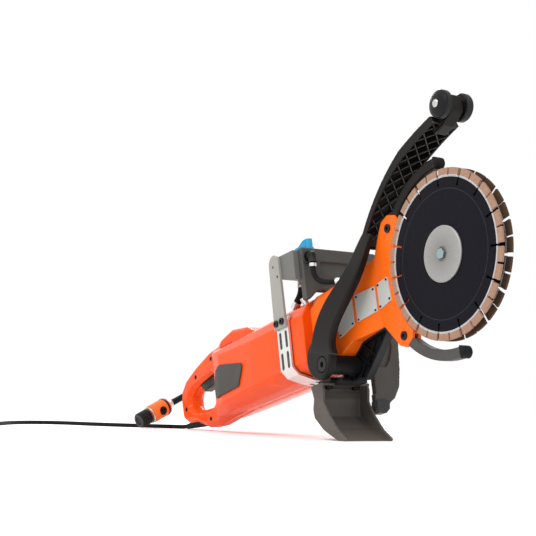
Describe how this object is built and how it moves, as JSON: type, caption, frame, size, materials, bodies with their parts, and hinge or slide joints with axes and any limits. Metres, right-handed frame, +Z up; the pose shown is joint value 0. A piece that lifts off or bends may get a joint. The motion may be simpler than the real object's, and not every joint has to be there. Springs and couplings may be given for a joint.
{
  "type": "twin-blade power cutter",
  "caption": "Electric cut-and-break saw: twin slotted blades on a belt-driven arm, swing guard with rollers, splash shield, front grip, scoop foot, water feed and power lead.",
  "frame": {"origin": "middle of the scoop foot's flat pad, on the floor", "axes": "+X forward towards the blades, +Y to the machine's left, +Z up; the machine rests nose-up on its foot and its rear cable boot"},
  "size_m": [1.1677, 0.5289, 0.4706],
  "materials": {
    "orange_shell": "satin moulded",
    "orange_metal": "satin paint",
    "dark_cover": "fine texture",
    "grey_moulding": "fine texture",
    "black_rubber": "matt",
    "black_plastic": "fine texture",
    "cast_bracket": "matt paint",
    "bare_aluminium": "bead blasted",
    "polished_steel": "turned",
    "dark_steel": "blackened",
    "blade_core": "gloss paint",
    "bearing_steel": "ground",
    "belt_rubber": "matt",
    "winding": "enamelled copper",
    "carbon": "matt",
    "blue_knob": "gloss",
    "wheel_plastic": "satin"
  },
  "bodies": {
    "machine": {"housing_right": "orange_shell", "housing_left": "orange_shell", "hump_cover": "orange_shell", "brush_cover_right": "dark_cover", "brush_cover_left": "dark_cover", "arm_right": "orange_metal", "arm_left": "orange_metal", "hoop_upper": "grey_moulding", "hoop_lower": "grey_moulding", "hoop_bumpers": "black_rubber", "hoop_screws": "polished_steel", "arm_cover_plates": "bare_aluminium", "foot_bracket": "cast_bracket", "scoop_foot": "grey_moulding", "splash_shield": "grey_moulding", "shield_cap": "black_plastic", "guard_pivot_bolt": "dark_steel", "bearings": "bearing_steel", "drive_belt": "belt_rubber", "motor_stator": "winding", "gear_case": "bare_aluminium", "rear_bracket": "black_plastic", "carbon_brushes": "carbon", "switch_module": "black_plastic", "housing_screws": "dark_steel", "band_bracket": "bare_aluminium", "band_pad": "black_rubber", "side_plate_right": "bare_aluminium", "side_plate_left": "bare_aluminium", "bracket_bolts": "dark_steel", "front_grip": "grey_moulding", "valve_body": "black_plastic", "water_elbow": "black_plastic", "arm_water_hose": "black_rubber", "body_water_hose": "black_rubber", "hose_fittings": "black_plastic", "hose_clamps": "polished_steel", "coupling_body": "orange_shell", "rear_hose": "black_rubber", "cable_boot": "black_rubber", "power_cord": "black_rubber", "plug": "black_plastic"},
    "blades": {"blade_right": "blade_core", "blade_left": "blade_core", "blade_spindle": "polished_steel", "blade_flanges": "polished_steel", "blade_bolts": "polished_steel"},
    "output": {"output_shaft": "polished_steel", "bevel_gear": "polished_steel"},
    "armature": {"rotor": "dark_steel", "cooling_fan": "black_plastic", "bevel_pinion": "polished_steel"},
    "guard": {"swing_guard": "grey_moulding", "wheel_axle": "dark_steel"},
    "roller_right": {"wheel_right": "wheel_plastic"},
    "roller_left": {"wheel_left": "wheel_plastic"},
    "trigger": {"trigger": "black_plastic"},
    "lockout": {"lockout_button": "black_plastic"},
    "water_valve": {"valve_knob": "blue_knob"},
    "inlet_nut": {"coupling_nut": "black_plastic"}
  },
  "joints": [
    {"name": "blade_spin", "type": "hinge", "parent": "machine", "child": "blades", "pos_m": [0.18604, 0, 0.25185], "axis": [0, 1, 0], "continuous": true},
    {"name": "output_spin", "type": "hinge", "parent": "machine", "child": "output", "pos_m": [-0.03837, 0, 0.1648], "axis": [0, 1, 0], "continuous": true},
    {"name": "armature_spin", "type": "hinge", "parent": "machine", "child": "armature", "pos_m": [-0.19647, 0, 0.12946], "axis": [0.9759, 0, 0.2181], "continuous": true},
    {"name": "guard_swing", "type": "hinge", "parent": "machine", "child": "guard", "pos_m": [-0.01748, -0.058, 0.10799], "axis": [0, -1, 0], "range_deg": [0, 20], "stiffness_Nm_per_rad": 6, "springref_deg": -20.05},
    {"name": "roller_right_spin", "type": "hinge", "parent": "guard", "child": "roller_right", "pos_m": [0.19274, -0.022, 0.45111], "axis": [0, 1, 0], "continuous": true},
    {"name": "roller_left_spin", "type": "hinge", "parent": "guard", "child": "roller_left", "pos_m": [0.19274, 0.022, 0.45111], "axis": [0, 1, 0], "continuous": true},
    {"name": "trigger_pull", "type": "hinge", "parent": "machine", "child": "trigger", "pos_m": [-0.43605, 0, 0.11484], "axis": [0, 1, 0], "range_deg": [0, 8], "stiffness_Nm_per_rad": 1.2, "springref_deg": -11.46},
    {"name": "lockout_press", "type": "slide", "parent": "machine", "child": "lockout", "axis": [0, -1, 0], "range_m": [0, 0.003], "stiffness_N_per_m": 600, "springref_m": -0.002},
    {"name": "water_valve_turn", "type": "hinge", "parent": "machine", "child": "water_valve", "pos_m": [-0.11867, -0.03, 0.28108], "axis": [-0.2181, 0, 0.9759], "range_deg": [0, 90]},
    {"name": "inlet_nut_turn", "type": "hinge", "parent": "machine", "child": "inlet_nut", "pos_m": [-0.584, -0.076, 0.0194], "axis": [-0.189, 0.8909, 0.413], "continuous": true}
  ],
  "couplings": [
    {"joint": "output_spin", "follows": "blade_spin", "ratio": 1},
    {"joint": "armature_spin", "follows": "blade_spin", "ratio": -3.7778}
  ]
}
